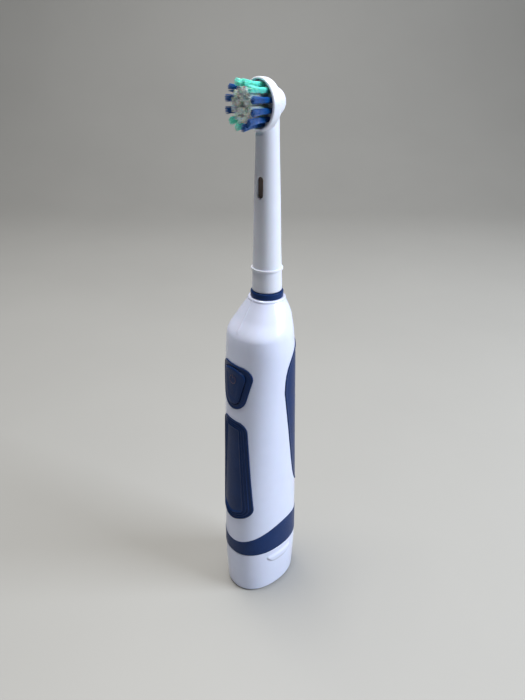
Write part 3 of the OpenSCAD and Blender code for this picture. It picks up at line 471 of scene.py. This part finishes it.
def frame_piece():
    """The soft frame round the button: a raised outer border, a shallow valley, and the wall of the
    opening."""
    rings, lifts = [PAD, PAD], [-0.6, -0.12]
    for d in fine:
        rings.append(PAD + n_pad * d)
        lifts.append(border(np.array(d), 0.34, 0.12))
    # from the border's foot to the opening, matched by direction from the centre
    centre = np.array([0, 115.0])
    last = rings[-1]

    def at_angle(line):
        rel = line - centre
        a = np.unwrap(np.arctan2(rel[:, 1], rel[:, 0]))
        want = np.unwrap(np.arctan2(last[:, 1] - centre[1], last[:, 0] - centre[0]))
        full_a = np.concatenate([a - 2 * np.pi, a, a + 2 * np.pi])
        full = np.concatenate([line] * 3)
        return np.stack([np.interp(want, full_a, full[:, i]) for i in (0, 1)], -1)

    goal = at_angle(OPENING)
    for t in (0.2, 0.4, 0.6, 0.8, 0.9, 0.97, 1.0):
        rings.append(last * (1 - t) + goal * t)
        lifts.append(0.12 - 0.05 * math.sin(math.pi * t)
                     if t < 0.9 else {0.9: 0.11, 0.97: 0.06, 1.0: -0.05}[t])
    rings.append(goal)
    lifts.append(-WALL - 0.05)
    pts = []
    for ring, lift in zip(rings, lifts):
        p = on_front(ring[:, 0], ring[:, 1])
        pts.append(p + normals(p) * lift)
    faces = grid_faces(len(rings), len(PAD))
    return make("button_frame", np.concatenate(pts), faces, MATS["navy_soft"], "handle",
                ["button_surround"])


frame_piece()


def button_profile(d):
    """Rounded edge, then a dish for the thumb."""
    edge = 0.62 * math.sqrt(max(0.0, 1 - (1 - min(1.0, float(d) / 0.7)) ** 2))
    dish = 0.16 * float(smooth((d - 0.9) / 3.0))
    return edge - dish


power = patch("power_key", BUTTON, [0, 0.03, 0.08, 0.15, 0.24, 0.35, 0.5, 0.7, 0.9, 1.2, 1.5, 1.8],
              button_profile, (112.0, 117.5),
              "button", ["power_button"], skirt=1.25)


def mark():
    """A generic power mark: an open ring with a short bar, slightly raised."""
    centre, radius = (0.0, 117.7), 1.75
    pts, faces = [], []

    def tube(path, r):
        base = len(pts)
        for i, (x, z) in enumerate(path):
            a, b = path[max(0, i - 1)], path[min(len(path) - 1, i + 1)]
            t = np.array([b[0] - a[0], 0, b[1] - a[1]])
            t /= np.linalg.norm(t)
            p = on_front(np.array([x]), np.array([z]))
            nn = normals(p)[0]
            side = np.cross(t, nn)
            p = p[0] + nn * 0.50
            for k in range(8):
                c, s = math.cos(k * math.pi / 4), math.sin(k * math.pi / 4)
                pts.append(p + r * (c * side + 0.8 * s * nn))
        m = len(path)
        for i in range(m - 1):
            for k in range(8):
                faces.append([base + i * 8 + k, base + i * 8 + (k + 1) % 8,
                              base + (i + 1) * 8 + (k + 1) % 8, base + (i + 1) * 8 + k])
        faces.append([base + k for k in range(7, -1, -1)])
        faces.append([base + (m - 1) * 8 + k for k in range(8)])

    ring = [(centre[0] + radius * math.sin(a), centre[1] + radius * math.cos(a))
            for a in np.linspace(0.5, 2 * math.pi - 0.5, 40)]
    tube(ring, 0.17)
    tube([(0, centre[1] + t) for t in np.linspace(0.55, 2.1, 6)], 0.17)
    return make("power_mark", np.array(pts), faces, MATS["mark"], "button")


mark()


def band_piece():
    """The soft band above the parting line, with rounded upper and lower edges."""
    p0 = on_form(theta, np.full(SIDES, 36.0))
    top = band_top(p0[:, 1])
    pts = []

    def ring(z, lift):
        p = on_form(theta, z)
        pts.append(p + normals(p) * lift)

    ring(np.full(SIDES, BAND_LOW), -1.2)
    ring(np.full(SIDES, BAND_LOW), -0.1)
    for r, lift in ((0.0, 0.0), (0.05, 0.08), (0.15, 0.14), (0.3, 0.165)):
        ring(np.full(SIDES, BAND_LOW + r), lift)
    for t in np.linspace(0.04, 1, 26):
        ring(BAND_LOW + 0.3 + (top - 0.5 - BAND_LOW - 0.3) * t, 0.165)
    for r, lift in ((0.36, 0.165), (0.24, 0.155), (0.14, 0.13), (0.07, 0.09), (0.02, 0.03), (0.0, -0.05)):
        ring(top - r, lift)
    ring(top, -0.6)
    return make("band", np.concatenate(pts), grid_faces(len(pts), SIDES), MATS["navy_soft"], "handle",
                ["lower_band"])


band_piece()


def leaf_piece():
    """The rear grip: a leaf wrapped round the back, with a raised border."""
    u = np.concatenate([[0, 0.004, 0.01, 0.018, 0.028, 0.04, 0.055, 0.075, 0.1],
                        np.linspace(0.13, 0.87, 40),
                        1 - np.array([0.1, 0.075, 0.055, 0.04, 0.028, 0.018, 0.01, 0.004, 0])])
    v = np.concatenate([LEAF_LOW + np.array([0.0, 0.02, 0.08, 0.2, 0.4, 0.7, 1.1]),
                        np.arange(LEAF_LOW + 1.6, LEAF_HIGH - 3.4, 0.55),
                        LEAF_HIGH - np.geomspace(3.3, 0.01, 26)])
    v = np.unique(np.clip(v, LEAF_LOW, LEAF_HIGH))
    edge = leaf_edge(v)
    yc, b, _ = axes_at(v)
    s = np.clip((edge - yc) / b, -1, 1)
    start = np.arcsin(np.sign(s) * np.abs(s) ** (OVAL / 2))
    tt = start[:, None] + (np.pi - 2 * start[:, None]) * u[None, :]
    zz = np.broadcast_to(v[:, None], tt.shape)
    p = on_form(tt, zz)
    # distance to the edge, in height and in arc
    arc = np.concatenate([np.zeros((len(v), 1)),
                          np.cumsum(np.linalg.norm(np.diff(p, axis=1), axis=2), axis=1)], 1)
    side = arc - arc[:, -1:] / 2
    half = arc[:, -1] / 2
    line = np.stack([np.concatenate([-half, half[::-1]]), np.concatenate([v, v[::-1]])], -1)
    good = np.concatenate([[True], np.linalg.norm(np.diff(line, axis=0), axis=1) > 1e-4])
    d = np.maximum(0, np.abs(inside_by(line[good], side, zz)))
    h = np.vectorize(lambda q: border(np.array(q), 0.33, 0.14, 1.1))(d)
    h[d < 1e-3] = -0.12
    pts = p + normals(p) * h[..., None]
    rows, cols = pts.shape[:2]
    faces = grid_faces(rows, cols, closed=False)
    base = pts.reshape(-1, 3)
    # skirt all round
    loop = [(0, k) for k in range(cols)] + [(j, cols - 1) for j in range(1, rows)] + [(rows - 1, k)
                                                  for k in range(cols - 2, -1, -1)] + [(j, 0)
                                                  for j in range(rows - 2, 0, -1)]
    idx = np.array([j * cols + k for j, k in loop])
    low = base[idx] - normals(p.reshape(-1, 3)[idx]) * 0.5
    start_i = len(base)
    n = len(idx)
    skirt = [[start_i + k, start_i + (k + 1) % n, idx[(k + 1) % n], idx[k]] for k in range(n)]
    return make("grip_rear", np.concatenate([base, low]), faces.tolist() + skirt, MATS["navy_soft"],
                "handle", ["rear_grip"])


leaf_piece()


# ---------------------------------------------------------------- battery cap
def cap_piece():
    """The cap: rounded base, outer wall, thumb catches, the tube that goes up inside the handle, and
    its floor."""
    edge = 1.0
    outer = [(0.0, -8.0), (0.0, -4.0), (0.0, -1.6)] + [(edge * (1 - math.cos(a)),
                                                  -edge * (1 - math.sin(a)))
                                                  for a in np.linspace(0, math.pi / 2, 7)]
    rows = [shrink(theta, np.full(SIDES, z), g) for z, g in outer]
    zs = np.concatenate([np.arange(1.5, 24.2, 0.4), [24.3, 24.42]])
    tt, zz = np.meshgrid(theta, zs)
    p = on_form(tt, zz)
    # thumb catch on each side: a half-moon under the parting line
    y0, reach, low, high = 0.5, 7.0, 16.2, 21.6
    across = (p[..., 1] - y0) / reach
    lower = high - (high - low) * np.sqrt(np.clip(1 - across ** 2, 0, 1))
    inside = np.minimum(zz - lower, (high - zz) * 3)
    on = (np.abs(across) < 1) * (np.abs(p[..., 0]) > 6)
    lift = 0.62 * smooth(inside / 0.9) * on * smooth((zz - low + 0.4) / 3.2) * (0.35 + 0.65
                                                  * smooth((high + 0.2 - zz) / 2.2 + 0.3))
    p = p + normals(p) * lift[..., None]
    rows += list(p)
    rows += [shrink(theta, np.full(SIDES, z), g) for z, g in
             ((24.5, -0.06), (24.55, -0.2), (24.55, -WALL - 0.25), (29.5, -WALL - 0.25),
              (29.8, -WALL - 0.5),
              (29.8, -WALL - 1.2), (29.6, -WALL - 1.35), (16, -WALL - 1.35), (2.3, -WALL - 1.35),
              (1.8, -WALL - 1.9), (1.8, -8.0))]
    pts = np.concatenate(rows)
    m = len(rows)
    faces = grid_faces(m, SIDES).tolist()
    faces.append(list(range(SIDES - 1, -1, -1)))
    faces.append([(m - 1) * SIDES + k for k in range(SIDES)])
    piece = make("cap", pts, faces, MATS["white_shell"], "battery_cap", ["base_cap"])
    return piece


cap_piece()

# ---------------------------------------------------------------- collar and id ring
pts, faces = lathe(rounded([(4.6, 149.22), (6.4, 149.22), (6.4, 151.6), (4.6, 151.6)],
                           [0.1, 0.22, 0.4, 0.1]))
make("collar", pts, faces, MATS["navy_soft"], "handle", ["collar_ring"])
ring_z = SLEEVE_Z + 8.3
pts, faces = lathe(rounded([(5.3, ring_z), (6.13, ring_z), (6.13, ring_z + 0.9), (5.3, ring_z + 0.9)],
                           [0.05, 0.25, 0.25, 0.05]))
make("ring_mark", pts, faces, MATS["white_neck"], "brush_head", ["id_ring"])


# ---------------------------------------------------------------- brush neck and head
def solid(name, pts, faces):
    mesh = bpy.data.meshes.new(name)
    mesh.from_pydata((np.asarray(pts, float) * MM).tolist(), [], [list(map(int, f)) for f in faces])
    tidy = bmesh.new()
    tidy.from_mesh(mesh)
    bmesh.ops.recalc_face_normals(tidy, faces=tidy.faces)
    tidy.to_mesh(mesh)
    tidy.free()
    thing = bpy.data.objects.new(name, mesh)
    bpy.context.scene.collection.objects.link(thing)
    return thing


def turned(profile, count=96, about="Z", at=(0, AXIS_Y, 0)):
    """A closed solid turned about Z, or about Y with heights measured towards the back."""
    t = np.linspace(0, 2 * np.pi, count, endpoint=False)
    rows = []
    for r, h in profile:
        if about == "Z":
            rows.append(np.stack([at[0] + r * np.cos(t), at[1] + r * np.sin(t), at[2] + h + 0 * t], -1))
        else:
            rows.append(np.stack([at[0] + r * np.cos(t), at[1] + h + 0 * t, at[2] - r * np.sin(t)], -1))
    m = len(rows)
    faces = grid_faces(m, count).tolist()
    faces.append(list(range(count - 1, -1, -1)))
    faces.append([(m - 1) * count + k for k in range(count)])
    return np.concatenate(rows), faces


def neck_piece():
    """Neck and head in one skin: sleeve, taper, bowl and rear boss, with the recess and the drain slot
    cut in."""
    neck = [(5.8 - 0.3, SLEEVE_Z), (5.8, SLEEVE_Z + 0.3), (5.8, SLEEVE_Z + 2), (5.66, 158), (5.3, 167.7),
            (4.85, 185.7),
            (4.32, 200), (4.12, 207), (4.05, 212), (3.9, HEAD_Z)]
    parts = [solid("n1", *turned(neck, 96))]
    bowl = [(RIM_R - 0.35, -RIM_Y), (RIM_R, -RIM_Y + 0.3), (RIM_R, -RIM_Y + 1.0), (8.05, -1.4),
            (7.7, -0.7), (7.0, 0.1), (5.9, 1.0), (4.9, 1.6), (2.5, 2.0), (0.5, 2.0)]
    parts.append(solid("n2", *turned(bowl, 128, "Y", (0, AXIS_Y, HEAD_Z))))
    ball = [(4.85 * math.cos(a), 1.6 + 4.85 * math.sin(a)) for a in np.linspace(-1.45, 1.5, 26)]
    parts.append(solid("n3", *turned(ball, 96, "Y", (0, AXIS_Y, HEAD_Z + 0.6))))
    cuts = [solid("c1", *turned([(RIM_R - 0.85, -RIM_Y - 3), (RIM_R - 0.85, -1.15)], 128, "Y",
                                (0, AXIS_Y, HEAD_Z)))]
    cuts.append(solid("c2", *turned([(4.7, SLEEVE_Z - 2), (4.7, 164.5)], 96)))
    slot_z = TOTAL_H - 38.3
    turn = math.radians(14)
    w, h = 1.2, 7.6
    outline = [(w * math.cos(a), h / 2 - w + w * math.sin(a)) for a in np.linspace(0, math.pi, 9)] + \
              [(w * math.cos(a), -h / 2 + w + w * math.sin(a))
               for a in np.linspace(math.pi, 2 * math.pi, 9)]
    pts = []
    for y in (-9.0, -3.2):
        for x, z in outline:
            pts.append([x * math.cos(turn) - y * math.sin(turn),
                        AXIS_Y + x * math.sin(turn) + y * math.cos(turn), slot_z + h / 2 + z])
    m = len(outline)
    faces = [[k, (k + 1) % m, m + (k + 1) % m, m + k] for k in range(m)] + [list(range(m - 1, -1, -1)),
                                                  list(range(m, 2 * m))]
    cuts.append(solid("c3", pts, faces))
    # a shallow crescent hollow in the neck just under the rim
    nail = [(0.9 * math.cos(a), 1.2 * math.sin(a)) for a in np.linspace(-1.5, 1.5, 18)]
    pts, faces = turned(nail, 48, "Y", (0, AXIS_Y - 4.4, HEAD_Z - RIM_R - 0.4))
    pts[:, 0] *= 2.7
    cuts.append(solid("c4", pts, faces))
    main = parts[0]
    for other, how in [(o, "UNION") for o in parts[1:]] + [(o, "DIFFERENCE") for o in cuts]:
        mod = main.modifiers.new("b", "BOOLEAN")
        mod.operation, mod.object, mod.solver = how, other, "EXACT"
    skin = main.modifiers.new("skin", "REMESH")
    skin.mode, skin.voxel_size, skin.adaptivity = "VOXEL", 0.17 * MM, 0
    soft = main.modifiers.new("soft", "SMOOTH")
    soft.factor, soft.iterations = 0.5, 7
    dg = bpy.context.evaluated_depsgraph_get()
    final = bpy.data.meshes.new_from_object(main.evaluated_get(dg))
    for o in parts + cuts:
        bpy.data.objects.remove(o)
    final.name = "neck"
    piece = bpy.data.objects.new("neck", final)
    bpy.context.scene.collection.objects.link(piece)
    final.materials.clear()
    final.materials.append(MATS["white_neck"])
    final.polygons.foreach_set("use_smooth", [True] * len(final.polygons))
    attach(piece, "brush_head")
    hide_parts("neck_shell")
    # a dark sheet at the bottom of the drain slot: painted shade for the slot's depth
    pts = []
    for y in (-3.75, -3.3):
        for x, z in outline:
            k = 0.96
            pts.append([k * x * math.cos(turn) - y * math.sin(turn),
                        AXIS_Y + k * x * math.sin(turn) + y * math.cos(turn), slot_z + h / 2 + k * z])
    m = len(outline)
    faces = [[k, (k + 1) % m, m + (k + 1) % m, m + k] for k in range(m)] + [list(range(m - 1, -1, -1)),
                                                  list(range(m, 2 * m))]
    make("slot_floor", pts, faces, MATS["slot"], "brush_head", flat=True)
    return piece


MATS["slot"] = shader("slot_shadow", (0.10, 0.075, 0.07), 0.6, var=0.15, fine=0.1)
neck_piece()

# ---------------------------------------------------------------- brush disc and bristles
DISC_R = RIM_R - 0.85 - 0.25
FACE = -1.6 - 1.4


def disc_piece():
    """The disc that carries the tufts, with a rounded rim, and its hub."""
    prof = [(0.9, FACE), (DISC_R - 0.25, FACE), (DISC_R - 0.07, FACE + 0.07), (DISC_R, FACE + 0.25),
            (DISC_R, -1.75), (DISC_R - 0.15, -1.6), (1.5, -1.6), (1.5, 2.2), (0.9, 2.2)]
    pts, faces = turned(prof, 128, "Y", (0, AXIS_Y, HEAD_Z))
    return make("brush_plate", pts, faces, MATS["clear_plastic"], "head_disc",
                ["brush_disc"])


disc_piece()
OUTER, MIDDLE, INNER = 5.95, 4.0, 1.9


def tufts(name, places, body_slot, node, filament=0.085):
    """Bundles of single filaments with domed ends; each place is (radius, angle, length)."""
    pts, faces = [], []
    for radius, angle, length in places:
        a = math.radians(angle)
        cx, cz = radius * math.cos(a), radius * math.sin(a)
        spots = [(0.0, 0.0)]
        for ring, count in ((0.27, 6), (0.52, 12), (0.77, 18)):
            off = rng.random()
            spots += [(ring * math.cos(2 * math.pi * (k + off) / count),
                       ring * math.sin(2 * math.pi * (k + off) / count)) for k in range(count)]
        for sx, sz in spots:
            l = length * (1 + rng.uniform(-0.03, 0.0)) - 0.25 * (sx * sx + sz * sz)
            out = radius * 0.018
            lean_x = (sx * 0.045 + math.cos(a) * out) + rng.uniform(-0.012, 0.012)
            lean_z = (sz * 0.045 + math.sin(a) * out) + rng.uniform(-0.012, 0.012)
            base = len(pts)
            k6 = [(math.cos(k * math.pi / 3), math.sin(k * math.pi / 3)) for k in range(6)]
            for t, r in ((-0.2, 1), (0.5 * l, 1), (l - 0.1, 1), (l - 0.02, 0.6)):
                bend = max(0.0, t) / l
                ox = cx + sx + lean_x * l * bend * bend
                oz = cz + sz + lean_z * l * bend * bend
                for c, s in k6:
                    pts.append([ox + filament * r * c, AXIS_Y + FACE - t, HEAD_Z + oz + filament * r * s])
            for i in range(3):
                for k in range(6):
                    faces.append([base + i * 6 + k, base + i * 6 + (k + 1) % 6,
                                  base + (i + 1) * 6 + (k + 1) % 6, base + (i + 1) * 6 + k])
            faces.append([base + 18 + k for k in range(6)])
            faces.append([base + k for k in range(5, -1, -1)])
    return make(name, pts, faces, MATS[body_slot], "head_disc", [node])


LONG = 9.25
blue = [(OUTER, 30 * k - 16, LONG) for k in (-2, -1, 0, 1, 5, 6, 7)]
green = [(OUTER, 30 * k - 16, LONG - 0.2) for k in (2, 3, 4, 8, 9)]
inner = [(MIDDLE, 30 * k + 15, LONG - 0.8) for k in range(12)] + [(INNER, 72 * k + 90, LONG - 1.0)
                                                  for k in range(5)]
tufts("bristles_blue", blue, "blue_bristle", "blue_tufts")
tufts("bristles_green", green, "green_bristle", "green_tufts")
tufts("bristles_inner", inner, "clear_bristle", "inner_tufts")

# ---------------------------------------------------------------- stage, light and camera
def plain(name, colour, rough=0.6):
    return shader(name, colour, rough, var=0.02, var_scale=6, fine=0.02, fine_scale=400, rough_var=0.03)


def stage():
    """A plain pale floor that sweeps up behind the object."""
    look = Vector((-0.766, 0.643, 0))
    side = Vector((0.643, 0.766, 0))
    prof = [(-3.0, 0.0), (0.75, 0.0)] + [(0.75 + 0.5 * math.sin(a), 0.5 - 0.5 * math.cos(a))
                                         for a in np.linspace(0.1, math.pi / 2, 14)] + [(1.25, 3.0)]
    pts, faces = [], []
    for d, z in prof:
        for w in (-4.0, 4.0):
            p = look * d + side * w
            pts.append((p.x, p.y, z - 0.0002))
    for i in range(len(prof) - 1):
        faces.append([2 * i, 2 * i + 1, 2 * i + 3, 2 * i + 2])
    mesh = bpy.data.meshes.new("floor")
    mesh.from_pydata(pts, [], faces)
    mesh.polygons.foreach_set("use_smooth", [True] * len(mesh.polygons))
    mesh.materials.append(plain("floor_paint", (0.31, 0.315, 0.315)))
    floor = bpy.data.objects.new("floor", mesh)
    bpy.context.scene.collection.objects.link(floor)


stage()


def light(name, at, aim, size, power, colour=(1, 1, 1), size_y=None):
    data = bpy.data.lights.new(name, "AREA")
    data.energy, data.color, data.size = power, colour, size
    if size_y:
        data.shape, data.size_y = "RECTANGLE", size_y
    lamp = bpy.data.objects.new(name, data)
    lamp.location = at
    lamp.rotation_euler = (Vector(aim) - Vector(at)).to_track_quat("-Z", "Y").to_euler()
    bpy.context.scene.collection.objects.link(lamp)


aim = (0, 0, 0.12)
light("key", (0.66, 0.50, 0.62), aim, 0.45, 12.0, (0.90, 0.945, 1.0))
light("fill", (0.15, -1.0, 0.55), aim, 0.9, 0.4, (1.0, 0.92, 0.80))
light("top", (-0.12, -0.05, 1.3), aim, 0.5, 20.0, (1.0, 0.955, 0.89))

world = bpy.data.worlds.new("world")
world.use_nodes = True
world.node_tree.nodes["Background"].inputs["Color"].default_value = (0.90, 0.87, 0.82, 1)
world.node_tree.nodes["Background"].inputs["Strength"].default_value = 0.09
bpy.context.scene.world = world
bpy.context.scene.view_settings.view_transform = "Standard"

eye = bpy.data.cameras.new("eye")
eye.sensor_width = 36
eye.lens = 526 / 700 * 36
eye.clip_start = 0.01
camera = bpy.data.objects.new("eye", eye)
camera.location = (0.1455, -0.1210, 0.2266)
heading = Vector((-0.766, 0.643, 0)).normalized() * math.cos(math.radians(28)) + Vector((0, 0,
                                                  -math.sin(math.radians(28))))
camera.rotation_euler = heading.to_track_quat("-Z", "Y").to_euler()
bpy.context.scene.collection.objects.link(camera)
bpy.context.scene.camera = camera
